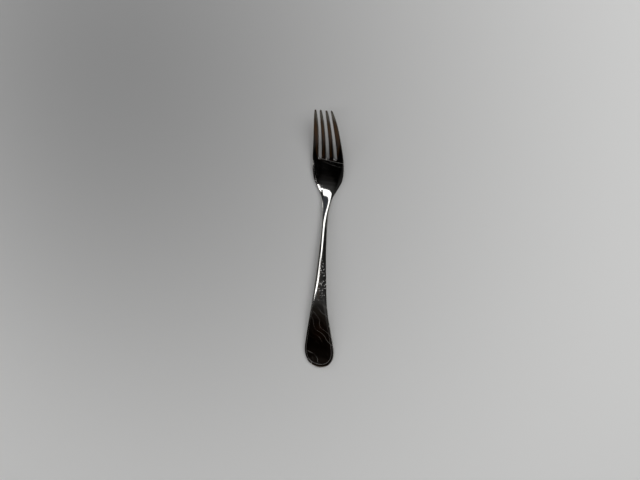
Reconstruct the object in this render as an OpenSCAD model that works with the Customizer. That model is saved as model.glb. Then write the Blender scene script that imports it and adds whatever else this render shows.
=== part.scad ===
// Dessert fork of polished steel, lying face up as on a table.
// The blank is drawn as the regions of the real piece, which meet face to face:
// the broad end of the handle, its stem, the neck, the root and four tines.
// X runs across the fork, Y from the handle to the tines and Z up.
// The origin is on the table under the middle of the fork.

/* [Lengths, from the handle end to the tips] */
// Rounded end of the handle, up to its widest point
end_length = 12; // [8:0.5:16]
// Widest point of the handle to the start of its taper
blade_length = 14; // [8:0.5:24]
// Taper of the broad end, up to the stem
taper_length = 26; // [16:1:40]
// Stem, up to its narrowest point
stem_length = 54; // [36:1:80]
// Narrowest point of the stem back to where it starts to bend down
bend_length = 12; // [6:0.5:20]
// Narrowest point to the foot of the shoulders
neck_length = 13; // [8:0.5:20]
// Foot of the shoulders to the back of the root
shoulder_length = 8; // [5:0.5:12]
// Back of the root to the middle of its belly
belly_length = 7; // [5.5:0.5:10]
// Back of the root to the place that it rests on
rest_length = 3; // [2:0.5:5]
// Belly to the widest point of the head
swell_length = 7; // [4:0.5:10]
// Widest point of the head to the ends of the slots
root_length = 6; // [3:0.5:10]
// Ends of the slots to the tips
tine_length = 33; // [22:1:45]

/* [Widths] */
// Handle at its widest
handle_w = 22.2; // [19:0.2:28]
// Handle at the start of its taper
blade_w = 18.4; // [14:0.1:18.9]
// Handle where the stem begins
taper_w = 10.4; // [8:0.2:13]
// Stem at its narrowest
stem_w = 4.3; // [3.4:0.1:5.6]
// Neck at the foot of the shoulders
neck_w = 6.8; // [5.6:0.1:8]
// Back of the root
shoulder_w = 14.6; // [9:0.2:16]
// Root over its belly
belly_w = 21.1; // [17:0.1:21.4]
// Head at its widest
head_w = 22.4; // [21.6:0.2:27]
// Tines halfway along, over all four
fan_w = 18.4; // [17.6:0.1:20.8]
// Tips, over all four
tips_w = 13.4; // [11.6:0.1:14]

/* [Thicknesses] */
// Broad end of the handle
end_t = 2; // [1.5:0.1:2.6]
// Handle where the stem begins
taper_t = 2.5; // [1.8:0.1:3.2]
// Stem at its narrowest
stem_t = 3.5; // [3:0.1:4.6]
// Back of the root
shoulder_t = 2.6; // [2:0.1:3.2]
// Root at its widest
head_t = 2.1; // [1.6:0.1:2.8]
// Tips
tip_t = 1; // [0.7:0.1:1.5]

/* [Side view, heights of the middle of the steel] */
// Arch of the handle, where the stem begins
arch_height = 6.4; // [6.3:0.1:10]
// Stem where it starts to bend down
bend_height = 4.6; // [4.4:0.1:6.2]
// Stem at its narrowest
stem_height = 3.5; // [3:0.05:4.3]
// Neck at the foot of the shoulders
neck_height = 1.9; // [1.8:0.05:2.9]
// Ends of the slots
slot_height = 3.2; // [2:0.1:4.6]
// Tines halfway along
fan_height = 8.1; // [5:0.1:10]
// Tips
tip_height = 16.2; // [11:0.1:24]
// Depth of the flats that the fork rests on
flat_cut = 0.12; // [0.06:0.01:0.2]

/* [Tines] */
// Width of each slot at its end
slot_w = 2.2; // [1.8:0.1:2.8]
// Width of the middle slot at the tips
tip_slot_w = 1.7; // [1.2:0.1:1.9]
// Inner tine at its foot
inner_tine_w = 3.3; // [2.4:0.1:3.6]
// Each tine near its tip
tip_w = 2.2; // [1.6:0.1:2.3]
// Length of the rounded tip of a tine
tip_round = 2.6; // [1.2:0.1:4]

/* [Faces and edges] */
// How far the face of the handle falls from its middle to its edges, where the stem begins
handle_bow = 0.65; // [0:0.05:0.8]
// How far the face of the root falls from its middle to its edges
root_bow = 0.45; // [0:0.05:0.7]
// How much lower the faces of the handle are near their edges
crown = 0.22; // [0.1:0.02:0.3]
// Rounding of the edges of the broad end
end_edge = 1.7; // [0.8:0.1:3]
// Rounding of the edges of the stem
stem_edge = 1.9; // [1.2:0.1:2.4]
// Rounding of the edges of the root
root_edge = 1.1; // [0.6:0.1:1.6]
// Rounding of the edges of the tines
tine_edge = 0.55; // [0.3:0.05:0.6]

/* [Hidden] */
steel = [0.76, 0.75, 0.73];

// Places along the fork, measured from the handle end
blade_at = end_length + blade_length;
taper_at = blade_at + taper_length;
stem_at = taper_at + stem_length;
bend_at = stem_at - bend_length;
neck_at = stem_at + neck_length;
shoulder_at = neck_at + shoulder_length;
belly_at = shoulder_at + belly_length;
rest_at = shoulder_at + rest_length;
head_at = belly_at + swell_length;
slot_at = head_at + root_length;
fan_at = slot_at + tine_length / 2;
fork_length = slot_at + tine_length;

// Points of a corner and of a face between corners, on the body and on a tine
body_corner = 4;
body_face = 8;
tine_corner = 3;
tine_face = 3;
// Rings along each region
end_rings = 9;
blade_rings = 16;
stem_rings = 16;
neck_rings = 10;
root_rings = 12;
slot_rings = 4;
tine_rings = 10;
tip_rings = 5;
// Smallest part of a rounding that is drawn, which leaves the end a little blunt
blunt = 0.004;
// Corner radius where the foot of a tine meets the slot end
foot_edge = 0.15;
// Largest part of a region's half-width that an edge rounding takes
edge_share = 0.92;
// Length over which the slope of the middle is taken
slope_step = 0.05;

// Half-widths, heights, thicknesses and edge roundings along the fork
outline = [[end_length, handle_w / 2], [blade_at, blade_w / 2], [taper_at, taper_w / 2],
           [stem_at, stem_w / 2], [neck_at, neck_w / 2], [shoulder_at, shoulder_w / 2],
           [belly_at, belly_w / 2], [head_at, head_w / 2], [fan_at, fan_w / 2],
           [fork_length, tips_w / 2]];
thicknesses = [[0, end_t], [end_length, end_t], [taper_at, taper_t], [stem_at, stem_t],
               [shoulder_at, shoulder_t], [head_at, head_t], [fork_length, tip_t]];
rest_t = curve(thicknesses, rest_at);
heights = [[0, end_t / 2 - flat_cut], [end_length / 2, end_t / 2 - flat_cut],
           [taper_at, arch_height], [bend_at, bend_height], [stem_at, stem_height],
           [neck_at, neck_height], [rest_at, rest_t / 2 - flat_cut], [slot_at, slot_height],
           [fan_at, fan_height], [fork_length, tip_height]];
bows = [[end_length, 0], [taper_at, handle_bow], [bend_at, 0], [stem_at, 0],
        [shoulder_at, root_bow], [belly_at, root_bow], [fan_at, 0], [fork_length, 0]];
crowns = [[0, crown], [stem_at, crown], [head_at, 0], [fork_length, 0]];
edges = [[0, end_edge], [blade_at, end_edge], [taper_at, stem_edge], [stem_at, stem_edge],
         [shoulder_at, root_edge], [slot_at, root_edge], [fan_at, tine_edge],
         [fork_length, tine_edge]];

// Smooth curve through a list of [place, value], level at each high and low
function chord(keys, i) = (keys[i + 1][1] - keys[i][1]) / (keys[i + 1][0] - keys[i][0]);
function inner_slope(a, b) = a * b <= 0 ? 0 : 2 * a * b / (a + b);
function slope(keys, i) =
    i == 0 ? 0 :
    i == len(keys) - 1 ? 2 * chord(keys, i - 1) - slope(keys, i - 1) :
    inner_slope(chord(keys, i - 1), chord(keys, i));
function span(keys, i, s) =
    let (a = keys[i], b = keys[i + 1], h = b[0] - a[0], t = (s - a[0]) / h)
    a[1] * (2 * t - 3) * t * t + a[1] + h * slope(keys, i) * t * (t - 1) * (t - 1)
    + b[1] * (3 - 2 * t) * t * t + h * slope(keys, i + 1) * t * t * (t - 1);
function curve(keys, s, i = 0) =
    s <= keys[0][0] ? keys[0][1] :
    i == len(keys) - 2 || s <= keys[i + 1][0] ? span(keys, i, s) : curve(keys, s, i + 1);

// Quarter of an ellipse, from its blunt end at 0 to its full size at 1
function rounded(u) = sqrt(1 - pow(1 - min(1, max(blunt, u)), 2));

function half_width(s) =
    s < end_length ? handle_w / 2 * rounded(s / end_length) : curve(outline, s);
function half_thickness(s) =
    curve(thicknesses, s) / 2 * rounded(s / end_edge) * rounded((fork_length - s) / tip_round);
function middle(s) = curve(heights, s);
function slant(s) =
    norm([1, (middle(s + slope_step) - middle(s - slope_step)) / (2 * slope_step)]);
function edge(s) = curve(edges, s);

// Point of the surface at place s, x across, with depth from -1 on the back to 1 on the face
function skin(s, x, depth) =
    let (u = x / half_width(s))
    [x, s - fork_length / 2,
     max(0, middle(s) - curve(bows, s) * u * u * (1 + depth) / 2
            + depth * slant(s) * (half_thickness(s) - curve(crowns, s) * u * u * rounded(s / end_edge)))];

// Ring round the fork at place s, between two edges that each have a rounding
function ring(s, left, right, left_r, right_r, corner, face) =
    let (turn = 90 / corner,
         flat = right - right_r - left - left_r,
         upper = concat(
             [for (k = [0:corner]) [left + left_r * (1 - cos(k * turn)), sin(k * turn)]],
             [for (m = [1:face - 1]) [left + left_r + flat * m / face, 1]],
             [for (k = [corner:-1:0]) [right - right_r * (1 - cos(k * turn)), sin(k * turn)]]))
    concat([for (p = upper) skin(s, p[0], p[1])],
           [for (i = [len(upper) - 2:-1:1]) skin(s, upper[i][0], -upper[i][1])]);

function body_ring(s) =
    let (w = half_width(s), r = min(edge(s), edge_share * w))
    ring(s, -w, w, r, r, body_corner, body_face);

// Places from a to b in equal steps
function steps(a, b, count) = [for (i = [0:count]) a + (b - a) * i / count];

// Closed solid through rings that all have the same number of points
module loft(rings) {
    n = len(rings[0]);
    front = n * (len(rings) - 1);
    half = n / 2;
    sides = [for (k = [0:len(rings) - 2], i = [0:n - 1])
             let (a = k * n + i, b = k * n + (i + 1) % n) each [[a, b + n, b], [a, a + n, b + n]]];
    rungs = [for (i = [0:half - 1])
             let (a = i, b = i + 1, c = n - i - 1, d = (n - i) % n)
             each i == 0 ? [[a, b, c]] : i == half - 1 ? [[a, b, d]] : [[a, c, d], [a, b, c]]];
    turned = [for (f = rungs) [front + f[0], front + f[2], front + f[1]]];
    polyhedron(points = [for (r = rings) each r], faces = concat(sides, rungs, turned));
}

// Half-width of the round end of a slot, at place s
function slot_half(s) = slot_w / 2 * rounded((s - slot_at) / (slot_w / 2));
// Part of the tine's length behind place s
function along(s) = (s - slot_at) / tine_length;
// Edges of a tine on the right of the fork, before its tip is rounded
function inner_left(s) = slot_half(s) + (tip_slot_w - slot_w) / 2 * along(s);
function inner_right(s) =
    slot_w - slot_half(s) + inner_tine_w
    + ((tip_slot_w - slot_w) / 2 + tip_w - inner_tine_w) * along(s);
function outer_left(s) =
    let (foot = slot_w + slot_w / 2 + inner_tine_w)
    foot + (tips_w / 2 - tip_w - foot) * along(s) - slot_w / 2 + slot_half(s);

function tine_ring(s, left, right, outer) =
    let (middle_x = (left + right) / 2,
         half = (right - left) / 2 * rounded((fork_length - s) / tip_round),
         cap = edge_share * half,
         slot_r = min(cap, foot_edge + (tine_edge - foot_edge) * rounded((s - slot_at) / slot_w)))
    ring(s, middle_x - half, middle_x + half, slot_r, outer ? min(cap, edge(s)) : slot_r,
         tine_corner, tine_face);

tine_places = concat(
    [for (i = [0:slot_rings]) slot_at + slot_w / 2 * (1 - cos(90 * i / slot_rings))],
    [for (i = [1:tine_rings])
     slot_at + slot_w / 2 + (tine_length - slot_w / 2 - tip_round) * i / tine_rings],
    [for (i = [1:tip_rings]) fork_length - tip_round * (1 - sin(90 * i / tip_rings))]);

module inner_tine() {
    loft([for (s = tine_places) tine_ring(s, inner_left(s), inner_right(s), false)]);
}

module outer_tine() {
    loft([for (s = tine_places) tine_ring(s, outer_left(s), half_width(s), true)]);
}

module handle_end() {
    round_places = [for (i = [0:end_rings]) end_length * (1 - cos(90 * i / end_rings))];
    blade_places = steps(end_length, taper_at, blade_rings);
    places = concat(round_places, [for (i = [1:blade_rings]) blade_places[i]]);
    color(steel) loft([for (s = places) body_ring(s)]);
}

module handle_stem() {
    color(steel) loft([for (s = steps(taper_at, stem_at, stem_rings)) body_ring(s)]);
}

module neck() {
    color(steel) loft([for (s = steps(stem_at, shoulder_at, neck_rings)) body_ring(s)]);
}

module root_plate() {
    color(steel) loft([for (s = steps(shoulder_at, slot_at, root_rings)) body_ring(s)]);
}

module left_outer_tine() {
    color(steel) mirror([1, 0, 0]) outer_tine();
}

module left_inner_tine() {
    color(steel) mirror([1, 0, 0]) inner_tine();
}

module right_inner_tine() {
    color(steel) inner_tine();
}

module right_outer_tine() {
    color(steel) outer_tine();
}

handle_end();
handle_stem();
neck();
root_plate();
left_outer_tine();
left_inner_tine();
right_inner_tine();
right_outer_tine();
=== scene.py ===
from math import pi, radians, sqrt

import bpy
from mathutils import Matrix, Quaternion, Vector


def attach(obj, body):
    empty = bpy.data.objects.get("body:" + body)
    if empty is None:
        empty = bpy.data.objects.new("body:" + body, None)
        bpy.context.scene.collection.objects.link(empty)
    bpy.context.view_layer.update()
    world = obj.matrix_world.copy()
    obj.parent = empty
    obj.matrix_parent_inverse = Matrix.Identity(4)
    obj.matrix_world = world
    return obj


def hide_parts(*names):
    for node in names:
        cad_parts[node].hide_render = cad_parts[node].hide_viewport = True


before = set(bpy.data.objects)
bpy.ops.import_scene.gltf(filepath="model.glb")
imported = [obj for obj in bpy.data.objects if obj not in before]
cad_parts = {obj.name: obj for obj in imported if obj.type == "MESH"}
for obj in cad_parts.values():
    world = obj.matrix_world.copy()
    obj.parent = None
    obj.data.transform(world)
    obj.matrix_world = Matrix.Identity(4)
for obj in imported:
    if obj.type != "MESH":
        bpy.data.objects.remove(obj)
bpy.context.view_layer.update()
mm = 0.001
print("frame loaded:", len(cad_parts), "nodes")


def smoothAt(keys, place):
    # smooth curve through (place, value) keys, level at its start and at each high and low
    if place <= keys[0][0]:
        return keys[0][1]
    if place >= keys[-1][0]:
        return keys[-1][1]
    chords = [(after[1] - before[1]) / (after[0] - before[0]) for before, after in zip(keys, keys[1:])]
    slopes = [0.0]
    for before, after in zip(chords, chords[1:]):
        slopes.append(2 * before * after / (before + after) if before * after > 0 else 0.0)
    slopes.append(2 * chords[-1] - slopes[-1])
    index = 0
    while index < len(keys) - 2 and place > keys[index + 1][0]:
        index += 1
    (start, low), (end, high) = keys[index], keys[index + 1]
    span = end - start
    share = (place - start) / span
    left = 1 - share
    rise = span * share * left * (slopes[index] * left - slopes[index + 1] * share)
    return low + (high - low) * share * share * (3 - 2 * share) + rise


def mix(start, end, share):
    return start + (end - start) * share


# The steel blank, in mm. Places run from the handle end to the tips.
blank = {
    "length": 180.0,
    "endRound": 12.0,  # rounded end of the handle
    "endBow": 2.4,  # how far the first rows bow to follow the rounded end
    "halfWidths": [(12, 11.1), (26, 9.2), (52, 5.2), (106, 2.15), (119, 3.4), (127, 7.3),
                   (134, 10.55), (141, 11.2), (163.5, 9.2), (180, 6.5)],
    "heights": [(0, 0.92), (8, 1.17), (18, 2.3), (30, 4.2), (40, 5.8), (48, 6.4), (80, 5.4), (94, 4.45),
                (106, 3.33), (112, 2.6), (118, 1.82), (121, 1.46), (124, 1.25), (127, 1.29), (131, 1.52),
                (134, 1.785), (141, 2.6), (147, 3.5), (163.5, 8.1), (180, 16.2)],
    "thicknesses": [(0, 1.86), (12, 2.0), (52, 2.5), (106, 3.4), (127, 2.3), (141, 2.1),
                    (157, 1.5), (172, 1.2), (180, 0.8)],
    # power of the curve across the face, where 2 is round and more is flatter
    "roundness": [(0, 6.0), (30, 4.6), (50, 2.7), (60, 2.2), (75, 1.8), (102, 1.75), (108, 2.0),
                  (114, 2.8), (121, 3.0), (130, 3.0), (141, 5.0), (147, 7.0)],
    # fall of the face from its middle to its edges
    "bow": [(24, 0.0), (46, 0.7), (62, 0.65), (80, 0.2), (96, 0.0), (112, 0.0), (120, 0.15),
            (126, 0.3), (134, 0.7), (143, 0.45), (160, 0.0)],
    "rimShare": 0.3,  # thickness left at the very edge
    "thickest": 4.0,
    "columns": [0.10, 0.24, 0.40, 0.56, 0.71, 0.85, 0.95, 1.0],  # shares of the half width
    "smoothing": 2,  # levels of subdivision
}

# The four tines, in mm
tines = {
    "slotPlace": 147.0,
    "slotWidth": 2.2,
    "innerFoot": 3.3,  # width of an inner tine at its foot
    "tipWidth": 2.2,
    "tipSlot": 1.7,  # width of the middle slot at the tips
    "tipsHalf": 6.7,
    "inset": 0.2,  # distance of the rounding columns from the edge
    "insetShare": 0.3,  # and at most this share of the tine's width
    "slotStart": 0.3,  # share of the slot's width at its very end
    "slotLip": 0.25,  # painted shade and rough steel start this far in front of a slot's end
    # share of the thickness left at each column, where the tines start and along them
    "footGauge": [1.0, 1.0, 1.0, 1.0, 1.0, 1.0, 0.74, 0.3],
    "tineGauge": [0.35, 0.88, 0.88, 0.35, 0.35, 0.88, 0.88, 0.3],
    "gaugeRun": 8.0,
    "tipTaper": [(172, 1.0), (177.5, 0.88), (180, 0.5)],
}

# Rows of the blank, the last one past the tips because smoothing draws it in,
# and the places where one region ends and the next begins
rowPlaces = [0, 1.1, 2.8, 5.2, 8.2, 12, 16.5, 21.5, 27, 32.5, 37.5, 42.5, 47.25, 52, 56.75, 62, 68,
             75, 82, 89, 95.5, 101, 106, 111, 115, 118.5, 121.5, 124.25, 127, 129.75, 132.5, 135.5,
             138.5, 141.2, 143.4, 145.2, 146.3, 146.8, 146.94, 147, 147.12, 147.4, 148.1, 149.6,
             151.5, 154, 157, 161, 165, 169, 172.5, 175.5, 178, 179.5, 180.2]
regionEnds = {"handle_end": 52, "handle_stem": 106, "neck": 127, "root_plate": tines["slotPlace"]}
tineRegions = ["left_outer_tine", "left_inner_tine", "right_inner_tine", "right_outer_tine"]
regions = list(regionEnds) + tineRegions
tineColumnCount = 4
columnCount = tineColumnCount * len(tineRegions)
# the column on the left side of each slot
slotColumns = [tineColumnCount * count - 1 for count in range(1, len(tineRegions))]
forkLength = blank["length"]
endHalf = blank["halfWidths"][0][1]  # half width of the broad end
spotDigits = 4  # digits that tell two corners apart, in mm


def halfWidthAt(place):
    if place < blank["endRound"]:
        back = 1 - place / blank["endRound"]
        return endHalf * sqrt(max(0.0, 1 - back * back))
    return smoothAt(blank["halfWidths"], place)


def nearEdge(place, spot):
    # 0 on the middle line, 1 at the edge
    if place >= blank["endRound"]:
        return min(1.0, abs(spot) / halfWidthAt(place))
    return min(1.0, sqrt((spot / endHalf) ** 2 + (1 - place / blank["endRound"]) ** 2))


def tineEdges(place):
    # left and right edge of the inner and the outer tine on the right of the fork
    depth = max(0.0, place - tines["slotPlace"])
    share = depth / (forkLength - tines["slotPlace"])
    half = mix(tines["slotWidth"], tines["tipSlot"], share) / 2
    innerRight = half + mix(tines["innerFoot"], tines["tipWidth"], share)
    outerFoot = tines["slotWidth"] / 2 + tines["innerFoot"] + tines["slotWidth"]
    outerLeft = mix(outerFoot, tines["tipsHalf"] - tines["tipWidth"], share)
    # the slots start round
    closed = half - half * sqrt(max(tines["slotStart"] ** 2, 1 - max(0.0, 1 - depth / half) ** 2))
    pairs = []
    for left, right in ((half - closed, innerRight + closed), (outerLeft - closed, halfWidthAt(place))):
        centre, reach = (left + right) / 2, (right - left) / 2 * smoothAt(tines["tipTaper"], place)
        pairs.append((centre - reach, centre + reach))
    return pairs


def tineColumns(place):
    spots = []
    for left, right in tineEdges(place):
        inset = min(tines["inset"], tines["insetShare"] * (right - left))
        spots += [left, left + inset, right - inset, right]
    return spots


def columnSpot(place, column):
    # distance of a column from the middle line, and its share of the full thickness
    side = 1 if column >= columnCount // 2 else -1
    index = column - columnCount // 2 if side > 0 else columnCount // 2 - 1 - column
    start = tines["slotPlace"]
    if place >= start:
        share = min(1.0, (place - start) / tines["gaugeRun"])
        gauge = mix(tines["footGauge"][index], tines["tineGauge"][index], share)
        return side * tineColumns(place)[index], gauge
    half = halfWidthAt(place)
    foot = tineColumns(start)[index] / halfWidthAt(start)
    share = min(1.0, max(0.0, (place - regionEnds["neck"]) / (start - regionEnds["neck"])))
    part = mix(blank["columns"][index], foot, share)
    edge = nearEdge(place, half * part)
    roundness = smoothAt(blank["roundness"], place)
    return side * half * part, max(blank["rimShare"], (1 - edge ** roundness) ** (1 / roundness))


def blankPoint(row, column):
    # place of one corner of the blank in metres, its part of the full thickness and mm from the edge
    base = rowPlaces[row]
    bow = blank["endBow"] * max(0.0, 1 - base / blank["endRound"]) ** 2
    spot, gauge = columnSpot(base + bow, column)
    across = min(1.0, abs(spot) / halfWidthAt(base + bow))
    place = base + bow * across * across
    fall = smoothAt(blank["bow"], place) * across * across
    lift = smoothAt(blank["heights"], place) - fall / 2
    if row in (0, len(rowPlaces) - 1):
        gauge = blank["rimShare"]
    gauge *= (smoothAt(blank["thicknesses"], place) - fall) / blank["thickest"]
    inside = (1 - nearEdge(place, spot)) * max(halfWidthAt(place), endHalf / 2)
    return Vector((spot, place - forkLength / 2, lift)) * mm, gauge, inside


def regionOf(row, column):
    for name, end in regionEnds.items():
        if rowPlaces[row] < end:
            return regions.index(name)
    return len(regionEnds) + column // tineColumnCount


def selectFaces(piece, wanted):
    bpy.ops.object.mode_set(mode="EDIT")
    bpy.ops.mesh.select_mode(type="FACE")
    bpy.ops.mesh.select_all(action="DESELECT")
    bpy.ops.object.mode_set(mode="OBJECT")
    for index in wanted:
        piece.data.polygons[index].select = True
    bpy.ops.object.mode_set(mode="EDIT")


def applyModifier(piece, kind, settings):
    modifier = piece.modifiers.new(kind.title(), kind)
    for name, value in settings.items():
        setattr(modifier, name, value)
    bpy.context.view_layer.objects.active = piece
    bpy.ops.object.modifier_apply(modifier=modifier.name)


def makeBlank():
    # a flat grid is drawn out to the fork's outline and bent, and the slots are cut from it
    rowCount = len(rowPlaces)
    bpy.ops.object.select_all(action="DESELECT")
    bpy.ops.mesh.primitive_grid_add(x_subdivisions=columnCount - 1, y_subdivisions=rowCount - 1, size=1)
    fork = bpy.context.object
    fork.name = "fork"
    for name in regions:
        fork.data.materials.append(bpy.data.materials.new(name))
    # row and column of each corner of the grid, which spans -0.5 to 0.5
    corners = [(round((vert.co.y + 0.5) * (rowCount - 1)), round((vert.co.x + 0.5) * (columnCount - 1)))
               for vert in fork.data.vertices]
    gauge = fork.vertex_groups.new(name="gauge")
    depths = []
    cuts = []
    slots = []
    for face in fork.data.polygons:
        row = min(corners[index][0] for index in face.vertices)
        column = min(corners[index][1] for index in face.vertices)
        face.material_index = regionOf(row, column)
        if rowPlaces[row] >= tines["slotPlace"] and column in slotColumns:
            slots.append(face.index)
    for vert, (row, column) in zip(fork.data.vertices, corners):
        vert.co, share, depth = blankPoint(row, column)
        gauge.add([vert.index], share, "REPLACE")
        depths.append(depth)
        # painted shade and roughness mark the columns beside the slots, from just in front of their ends
        besideSlot = column in slotColumns or column - 1 in slotColumns
        pastLip = rowPlaces[row] >= tines["slotPlace"] - tines["slotLip"]
        cuts.append(1.0 if besideSlot and pastLip else 0.0)
    fork.data.attributes.new("inside", "FLOAT", "POINT").data.foreach_set("value", depths)
    fork.data.attributes.new("cut", "FLOAT", "POINT").data.foreach_set("value", cuts)
    selectFaces(fork, slots)
    bpy.ops.mesh.delete(type="FACE")
    bpy.ops.mesh.select_all(action="SELECT")
    bpy.ops.mesh.normals_make_consistent(inside=False)
    bpy.ops.object.mode_set(mode="OBJECT")
    applyModifier(fork, "SOLIDIFY", {"thickness": blank["thickest"] * mm, "offset": 0.0,
                                     "vertex_group": "gauge", "use_quality_normals": True})
    applyModifier(fork, "SUBSURF", {"levels": blank["smoothing"], "render_levels": blank["smoothing"]})
    bpy.ops.object.mode_set(mode="EDIT")
    bpy.ops.mesh.select_all(action="SELECT")
    bpy.ops.mesh.normals_make_consistent(inside=False)
    bpy.ops.object.mode_set(mode="OBJECT")
    bpy.ops.object.shade_smooth()
    return fork


def spotKey(point):
    return tuple(round(value / mm, spotDigits) for value in point)


def cutRegions(fork):
    # the polished blank is cut at the frame's own lines, closed there, and keeps its shading
    normals = {spotKey(vert.co): vert.normal.copy() for vert in fork.data.vertices}
    bpy.ops.object.select_all(action="DESELECT")
    fork.select_set(True)
    bpy.context.view_layer.objects.active = fork
    bpy.ops.mesh.separate(type="MATERIAL")
    pieces = {}
    for piece in list(bpy.context.selected_objects):
        region = piece.data.materials[piece.data.polygons[0].material_index].name.split(".")[0]
        bpy.context.view_layer.objects.active = piece
        faceCount = len(piece.data.polygons)
        bpy.ops.object.mode_set(mode="EDIT")
        bpy.ops.mesh.select_all(action="SELECT")
        bpy.ops.mesh.fill_holes(sides=0)  # of any size
        bpy.ops.object.mode_set(mode="OBJECT")
        shading = []
        for face in piece.data.polygons:
            for corner in face.vertices:
                key = spotKey(piece.data.vertices[corner].co)
                shading.append(face.normal if face.index >= faceCount else normals[key])
        piece.data.normals_split_custom_set(shading)
        piece.vertex_groups.clear()
        piece.name = "steel_" + region
        pieces[region] = piece
        print("cut", piece.name, faceCount, "faces")
    return pieces


def addNode(tree, kind, **settings):
    node = tree.nodes.new(kind)
    for name, value in settings.items():
        if name in node.inputs:
            node.inputs[name].default_value = value
        else:
            setattr(node, name, value)
    return node


# Polished stainless steel. Sizes of the patterns are in cycles per metre, places and depths in metres.
steel = {
    "tone": (0.62, 0.61, 0.59, 1.0),
    "dullTone": (0.54, 0.53, 0.51, 1.0),
    "slotShadeTone": (0.2, 0.19, 0.18, 1.0),  # painted shade on the sides of the slots, which are also left rough
    "cutRough": 0.35,
    "gloss": 0.04,
    "haze": 0.085,
    "hazeRange": (0.12, 0.42),  # where the smudges and the brushing turn gloss to haze
    "smudgeSize": 190.0,
    "smudgeDetail": 5.0,
    "waveSize": 70.0,
    "waveDetail": 1.0,
    "waveDepth": 0.00003,
    "brushStretch": (900.0, 30.0, 900.0),
    "brushDetail": 3.0,
    "brushDepth": 0.0000006,
    "rootStretch": (50.0, 600.0, 50.0),  # fine polishing lines across the root, near the neck
    "rootDepth": 0.00002,
    "rootStart": (0.034, 0.038),
    "rootEnd": (0.046, 0.054),
    "swirlSize": 63.0,  # long curved scratches
    "swirlTurn": 45.0,
    "swirlBend": 9.0,
    "swirlDetail": 1.0,
    "swirlLine": (0.97, 0.99),
    "swirlBreak": (0.47, 0.57),
    "swirlEnd": (-0.046, -0.036),  # where they stop along the handle
    # two long scratches across the root: place on the middle line, slope, bend, the side they start from
    # and strength
    "streaks": [{"middle": 0.0564, "slope": -0.17, "bend": 5.0, "side": -0.007, "strength": 1.6},
                {"middle": 0.0546, "slope": -0.36, "bend": 14.0, "side": -0.0045, "strength": 0.85}],
    "streakWidth": 0.0002,
    "streakFade": 0.001,
    "hairStretch": (1300.0, 25.0, 1300.0),  # short straight scratches
    "hairTurn": 24.0,
    "hairLine": (0.66, 0.74),
    "hairStrength": 0.5,
    "scratchRough": 0.2,
    "endRough": 0.32,  # scratches on the broad end, which is rubbed most
    "endStart": (-0.055, -0.072),
    "speckSize": 1000.0,  # dried specks, along the right of the stem
    "speckRange": (0.57, 0.66),
    "speckRough": 0.3,
    "speckStart": (-0.042, -0.034),
    "speckEnd": (-0.016, -0.006),
    "speckSide": (-0.001, 0.0),
    "rimInside": 1.6,  # worn line along the edge of the broad handle end, mm inside the edge
    "rimWidth": 0.35,
    "rimEnd": (-0.05, -0.03),  # where the line fades along the fork
}


def band(tree, source, low, high, start=0.0, end=1.0):
    # source between low and high becomes start to end
    node = addNode(tree, "ShaderNodeMapRange")
    node.inputs["From Min"].default_value = low
    node.inputs["From Max"].default_value = high
    node.inputs["To Min"].default_value = start
    node.inputs["To Max"].default_value = end
    tree.links.new(source, node.inputs["Value"])
    return node.outputs["Result"]


def combine(tree, operation, first, second):
    # second is a socket or a plain number
    node = addNode(tree, "ShaderNodeMath", operation=operation)
    tree.links.new(first, node.inputs[0])
    if isinstance(second, float):
        node.inputs[1].default_value = second
    else:
        tree.links.new(second, node.inputs[1])
    return node.outputs["Value"]


def awayFrom(tree, source, middle):
    return combine(tree, "ABSOLUTE", combine(tree, "SUBTRACT", source, middle), 0.0)


def within(tree, source, start, end):
    # rises from 0 to 1 over start and falls to 0 over end
    return combine(tree, "MULTIPLY", band(tree, source, *start), band(tree, source, *end, 1.0, 0.0))


def pattern(tree, spot, size=1.0, detail=2.0):
    noise = addNode(tree, "ShaderNodeTexNoise", Scale=size, Detail=detail)
    tree.links.new(spot, noise.inputs["Vector"])
    return noise.outputs["Fac"]


def stretched(tree, spot, scale=(1.0, 1.0, 1.0), turn=0.0):
    node = addNode(tree, "ShaderNodeMapping", vector_type="TEXTURE" if turn else "POINT")
    node.inputs["Rotation"].default_value = (0.0, 0.0, radians(turn))
    node.inputs["Scale"].default_value = scale
    tree.links.new(spot, node.inputs["Vector"])
    return node.outputs["Vector"]


def axisOf(tree, spot, axis):
    parts = addNode(tree, "ShaderNodeSeparateXYZ")
    tree.links.new(spot, parts.inputs["Vector"])
    return parts.outputs[axis]


def swirls(tree, spot):
    # thin bent lines side by side, broken here and there, on the broad end
    wave = addNode(tree, "ShaderNodeTexWave", Scale=steel["swirlSize"], Distortion=steel["swirlBend"],
                   Detail=steel["swirlDetail"])
    tree.links.new(stretched(tree, spot, turn=steel["swirlTurn"]), wave.inputs["Vector"])
    line = band(tree, wave.outputs["Fac"], *steel["swirlLine"])
    ending = band(tree, axisOf(tree, spot, "Y"), *steel["swirlEnd"], 1.0, 0.0)
    broken = band(tree, pattern(tree, spot, steel["swirlSize"]), *steel["swirlBreak"])
    return combine(tree, "MULTIPLY", combine(tree, "MULTIPLY", line, ending), broken)


def streak(tree, spot, line):
    # one thin bent line, from a place beside the middle line to the right edge
    across = axisOf(tree, spot, "X")
    lean = combine(tree, "ADD", combine(tree, "MULTIPLY", across, line["bend"]), line["slope"])
    path = combine(tree, "ADD", combine(tree, "MULTIPLY", across, lean), line["middle"])
    away = awayFrom(tree, axisOf(tree, spot, "Y"), path)
    shown = band(tree, away, 0.0, steel["streakWidth"], line["strength"], 0.0)
    started = band(tree, across, line["side"], line["side"] + steel["streakFade"])
    return combine(tree, "MULTIPLY", shown, started)


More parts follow.
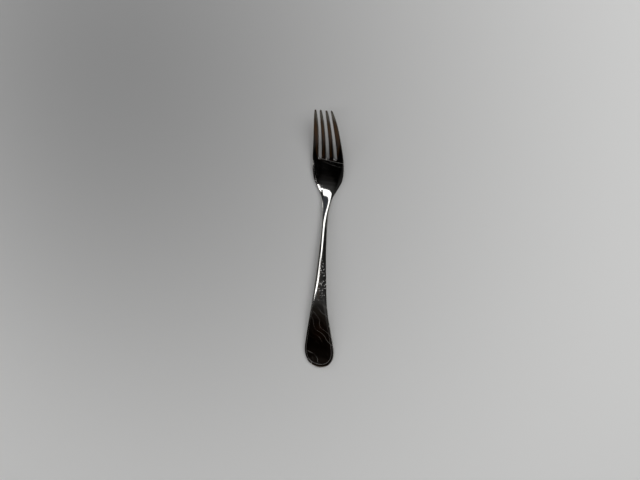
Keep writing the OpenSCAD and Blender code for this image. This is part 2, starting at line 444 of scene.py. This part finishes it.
def scratches(tree, spot):
    # how strong a scratch or the worn line is, 0 beside them
    marks = swirls(tree, spot)
    for line in steel["streaks"]:
        marks = combine(tree, "MAXIMUM", marks, streak(tree, spot, line))
    inside = addNode(tree, "ShaderNodeAttribute", attribute_name="inside").outputs["Fac"]
    rim = band(tree, awayFrom(tree, inside, steel["rimInside"]), 0.0, steel["rimWidth"], 1.0, 0.0)
    ending = band(tree, axisOf(tree, spot, "Y"), *steel["rimEnd"], 1.0, 0.0)
    marks = combine(tree, "MAXIMUM", marks, combine(tree, "MULTIPLY", rim, ending))
    turned = stretched(tree, spot, turn=steel["hairTurn"])
    hair = band(tree, pattern(tree, stretched(tree, turned, steel["hairStretch"])), *steel["hairLine"])
    return combine(tree, "MAXIMUM", marks, combine(tree, "MULTIPLY", hair, steel["hairStrength"]))


def specks(tree, spot):
    # 1 on a speck, none away from one side of the stem
    stem = within(tree, axisOf(tree, spot, "Y"), steel["speckStart"], steel["speckEnd"])
    side = combine(tree, "MULTIPLY", stem, band(tree, axisOf(tree, spot, "X"), *steel["speckSide"]))
    dots = band(tree, pattern(tree, spot, steel["speckSize"]), *steel["speckRange"])
    return combine(tree, "MULTIPLY", dots, side)


def polishedSteel():
    material = bpy.data.materials.new("polishedSteel")
    material.use_nodes = True
    tree = material.node_tree
    link = tree.links.new
    shader = tree.nodes["Principled BSDF"]
    shader.inputs["Metallic"].default_value = 1.0
    spot = addNode(tree, "ShaderNodeTexCoord").outputs["Object"]
    place = axisOf(tree, spot, "Y")
    smudge = pattern(tree, spot, steel["smudgeSize"], steel["smudgeDetail"])
    brush = pattern(tree, stretched(tree, spot, steel["brushStretch"]), detail=steel["brushDetail"])
    tone = addNode(tree, "ShaderNodeMix", data_type="RGBA")
    tone.inputs["A"].default_value = steel["tone"]
    tone.inputs["B"].default_value = steel["dullTone"]
    link(smudge, tone.inputs["Factor"])
    # the cut attribute darkens the sides of the slots with painted shade and makes them rough
    cut = addNode(tree, "ShaderNodeAttribute", attribute_name="cut").outputs["Fac"]
    slotShadeTone = addNode(tree, "ShaderNodeMix", data_type="RGBA")
    slotShadeTone.inputs["B"].default_value = steel["slotShadeTone"]
    link(cut, slotShadeTone.inputs["Factor"])
    link(tone.outputs["Result"], slotShadeTone.inputs["A"])
    link(slotShadeTone.outputs["Result"], shader.inputs["Base Color"])
    sheen = combine(tree, "MULTIPLY", smudge, brush)
    gloss = band(tree, sheen, *steel["hazeRange"], steel["gloss"], steel["haze"])
    rub = band(tree, place, *steel["endStart"], steel["scratchRough"], steel["endRough"])
    lines = combine(tree, "MULTIPLY", scratches(tree, spot), rub)
    dried = combine(tree, "MULTIPLY", specks(tree, spot), steel["speckRough"])
    rough = combine(tree, "ADD", combine(tree, "ADD", gloss, lines), dried)
    rough = combine(tree, "MAXIMUM", rough, combine(tree, "MULTIPLY", cut, steel["cutRough"]))
    link(rough, shader.inputs["Roughness"])
    waves = addNode(tree, "ShaderNodeBump", Distance=steel["waveDepth"])
    link(pattern(tree, spot, steel["waveSize"], steel["waveDetail"]), waves.inputs["Height"])
    grain = addNode(tree, "ShaderNodeBump", Distance=steel["brushDepth"])
    link(brush, grain.inputs["Height"])
    link(waves.outputs["Normal"], grain.inputs["Normal"])
    polish = addNode(tree, "ShaderNodeBump", Distance=steel["rootDepth"])
    link(within(tree, place, steel["rootStart"], steel["rootEnd"]), polish.inputs["Strength"])
    link(pattern(tree, stretched(tree, spot, steel["rootStretch"])), polish.inputs["Height"])
    link(grain.outputs["Normal"], polish.inputs["Normal"])
    link(polish.outputs["Normal"], shader.inputs["Normal"])
    return material


# The table top under the fork, in metres, with a painted shadow that darkens its colour round one place
floor = {
    "size": 3.0,
    "tone": (0.84, 0.84, 0.83, 1.0),
    # colour of the painted shadow at its middle, and where and how far it reaches
    "shade": (0.36, 0.36, 0.36, 1.0),
    "shadePlace": (-0.16, 0.12, 0.0),
    "shadeReach": 0.42,
    "rough": 0.8,
    "specular": 0.2,
}


def layFloor():
    bpy.ops.object.select_all(action="DESELECT")
    bpy.ops.mesh.primitive_plane_add(size=floor["size"])
    top = bpy.context.object
    top.name = "tableTop"
    material = bpy.data.materials.new("paleTable")
    material.use_nodes = True
    tree = material.node_tree
    shader = tree.nodes["Principled BSDF"]
    shader.inputs["Roughness"].default_value = floor["rough"]
    shader.inputs["Specular IOR Level"].default_value = floor["specular"]
    # painted shadow: the colour goes from the shade tone at shadePlace to the pale tone at shadeReach
    spot = addNode(tree, "ShaderNodeTexCoord")
    distance = addNode(tree, "ShaderNodeVectorMath", operation="DISTANCE")
    distance.inputs[1].default_value = floor["shadePlace"]
    away = addNode(tree, "ShaderNodeMapRange", interpolation_type="SMOOTHSTEP")
    away.inputs["From Max"].default_value = floor["shadeReach"]
    tone = addNode(tree, "ShaderNodeMix", data_type="RGBA")
    tone.inputs["A"].default_value = floor["shade"]
    tone.inputs["B"].default_value = floor["tone"]
    tree.links.new(spot.outputs["Object"], distance.inputs[0])
    tree.links.new(distance.outputs["Value"], away.inputs["Value"])
    tree.links.new(away.outputs["Result"], tone.inputs["Factor"])
    tree.links.new(tone.outputs["Result"], shader.inputs["Base Color"])
    top.data.materials.append(material)


# Softboxes: place, aim and size in metres, turn about the aim in degrees and power in watts
softboxes = [
    {"name": "mainSoftbox", "place": (0.061, -0.024, 3.0), "aim": (0.061, -0.024, 0.0),
     "size": (3.71, 0.645), "turn": 12.2, "power": 18.8},
    {"name": "stripSoftbox", "place": (-2.46, -0.953, 3.0), "aim": (-2.46, -0.953, 0.0),
     "size": (1.65, 0.08), "turn": 15.0, "power": 1.5},
    {"name": "endSoftbox", "place": (-0.42, -0.153, 0.4), "aim": (-0.42, -0.153, 0.0),
     "size": (0.26, 0.03), "turn": 26.6, "power": 0.07},
    {"name": "leftSoftbox", "place": (-1.3, 1.2, 0.9), "aim": (0.0, 0.0, 0.0),
     "size": (1.6, 1.0), "turn": 0.0, "power": 8.0},
    {"name": "edgeSoftbox", "place": (-1.0, 0.03, 0.48), "aim": (0.0, 0.025, 0.0),
     "size": (0.14, 0.2), "turn": 0.0, "power": 0.26},
    {"name": "farSoftbox", "place": (1.1, 0.8, 1.2), "aim": (0.0, 0.0, 0.0),
     "size": (1.2, 1.0), "turn": 0.0, "power": 18.0},
]

# A dim graded light low over the fork: rows of softboxes side by side, each with its width and tone.
# A power of pi times the area makes a lamp as bright as its tone.
graded = {
    "place": (-0.09, -0.05, 0.2),
    "depth": 0.025,
    "rows": [(0.06, (0.019, 0.008, 0.002)), (0.06, (0.023, 0.012, 0.005)), (0.42, (0.018, 0.017, 0.016)),
             (0.42, (0.016, 0.015, 0.014)), (0.42, (0.013, 0.011, 0.009)), (0.42, (0.008, 0.006, 0.005)),
             (0.42, (0.003, 0.002, 0.0015))],
}
for row, (wide, tone) in enumerate(graded["rows"]):
    across, along, high = graded["place"]
    along -= (row + 0.5) * graded["depth"]  # middle of the row
    softboxes.append({"name": "gradedSoftbox", "place": (across, along, high),
                      "aim": (across, along, 0.0), "size": (wide, graded["depth"]), "turn": 0.0,
                      "tone": tone, "power": pi * wide * graded["depth"]})


def hangSoftbox(box):
    lamp = bpy.data.lights.new(box["name"], "AREA")
    lamp.shape = "RECTANGLE"
    lamp.size, lamp.size_y = box["size"]
    lamp.energy = box["power"]
    lamp.color = box.get("tone", (1.0, 1.0, 1.0))
    holder = bpy.data.objects.new(box["name"], lamp)
    holder.location = box["place"]
    facing = (Vector(box["aim"]) - Vector(box["place"])).to_track_quat("-Z", "Y")
    holder.rotation_euler = (facing @ Quaternion((0.0, 0.0, 1.0), radians(box["turn"]))).to_euler()
    holder.visible_camera = False
    bpy.context.scene.collection.objects.link(holder)


# The room round the table: pale low down, and overhead by how far a direction leans along the fork
room = {
    "low": (0.3, 0.3, 0.295, 1.0),
    "lowEnd": 0.06,
    "highStart": 0.4,
    "overhead": [(-0.84, (0.11, 0.106, 0.09, 1.0)), (-0.81, (0.045, 0.034, 0.027, 1.0)),
                 (-0.78, (0.045, 0.027, 0.014, 1.0)), (-0.7, (0.04, 0.018, 0.006, 1.0)),
                 (-0.62, (0.03, 0.012, 0.004, 1.0)), (-0.5, (0.016, 0.012, 0.01, 1.0)),
                 (-0.25, (0.042, 0.042, 0.042, 1.0)), (-0.17, (0.016, 0.016, 0.016, 1.0)),
                 (-0.08, (0.012, 0.012, 0.012, 1.0)), (0.0, (0.05, 0.055, 0.065, 1.0))],
    # a dark patch overhead: its middle and reach across, and the leans where it starts and ends
    "patchPlace": -0.36,
    "patchHalf": (0.34, 0.5),
    "patchFoot": (-0.68, -0.6),
    "patchTop": (-0.37, -0.25),
    "patchLeft": 0.02,  # share of the light left in it
    "warmHalf": (0.3, 0.45),  # reach of the warm tones across, from the middle of the patch
    "warmLeft": 0.1,  # share of their colour left beyond it
}


def addRamp(tree, stops):
    ramp = addNode(tree, "ShaderNodeValToRGB")
    colours = ramp.color_ramp.elements
    given = len(colours)  # stops that a new ramp has
    for index, (place, colour) in enumerate(stops):
        stop = colours[index] if index < given else colours.new(place)
        stop.position = place
        stop.color = colour
    return ramp


def paintRoom():
    world = bpy.data.worlds.new("room")
    bpy.context.scene.world = world
    world.use_nodes = True
    tree = world.node_tree
    spot = addNode(tree, "ShaderNodeTexCoord")
    parts = addNode(tree, "ShaderNodeSeparateXYZ")
    tree.links.new(spot.outputs["Generated"], parts.inputs["Vector"])
    lean = parts.outputs["Y"]
    # the ramp runs from 0 to 1, and the leans from -1 to 0
    overhead = addRamp(tree, [(place + 1.0, colour) for place, colour in room["overhead"]])
    tree.links.new(combine(tree, "ADD", lean, 1.0), overhead.inputs["Fac"])
    across = awayFrom(tree, parts.outputs["X"], room["patchPlace"])
    warmth = band(tree, across, *room["warmHalf"], 1.0, room["warmLeft"])
    warm = addNode(tree, "ShaderNodeHueSaturation")
    tree.links.new(overhead.outputs["Color"], warm.inputs["Color"])
    tree.links.new(warmth, warm.inputs["Saturation"])
    patch = combine(tree, "MULTIPLY", band(tree, across, *room["patchHalf"], 1.0, 0.0),
                    within(tree, lean, room["patchFoot"], room["patchTop"]))
    dimmed = addNode(tree, "ShaderNodeVectorMath", operation="SCALE")
    tree.links.new(warm.outputs["Color"], dimmed.inputs[0])
    tree.links.new(band(tree, patch, 0.0, 1.0, 1.0, room["patchLeft"]), dimmed.inputs["Scale"])
    high = band(tree, parts.outputs["Z"], room["lowEnd"], room["highStart"])
    tint = addNode(tree, "ShaderNodeMix", data_type="RGBA")
    tint.inputs["A"].default_value = room["low"]
    tree.links.new(high, tint.inputs["Factor"])
    tree.links.new(dimmed.outputs["Vector"], tint.inputs["B"])
    tree.links.new(tint.outputs["Result"], tree.nodes["Background"].inputs["Color"])


# The camera, high over the table and to the right of the fork, in metres
camera = {
    "place": (0.20296, 0.1453, 0.5545),
    "turn": (-0.2278, 0.3614, 0.0916),  # axis times angle, from looking straight down
    "focalPixels": 900.0,
    "imageWidth": 640.0,
    "sensor": 36.0,  # mm
    "nearest": 0.01,
}


def setCamera():
    lens = bpy.data.cameras.new("photoCamera")
    lens.sensor_width = camera["sensor"]
    lens.lens = camera["focalPixels"] / camera["imageWidth"] * camera["sensor"]
    lens.clip_start = camera["nearest"]
    holder = bpy.data.objects.new("photoCamera", lens)
    holder.location = camera["place"]
    holder.rotation_mode = "QUATERNION"
    turn = Vector(camera["turn"])
    holder.rotation_quaternion = Quaternion(turn.normalized(), turn.length)
    bpy.context.scene.collection.objects.link(holder)
    bpy.context.scene.camera = holder


setCamera()
layFloor()
for box in softboxes:
    hangSoftbox(box)
paintRoom()
bpy.context.scene.view_settings.view_transform = "Standard"
print("camera, table and light set")

finish = polishedSteel()
pieces = cutRegions(makeBlank())
for region, piece in pieces.items():
    piece.data.materials.clear()
    piece.data.materials.append(finish)
    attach(piece, "root")
    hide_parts(region)
print("fork cut into", len(pieces), "pieces")
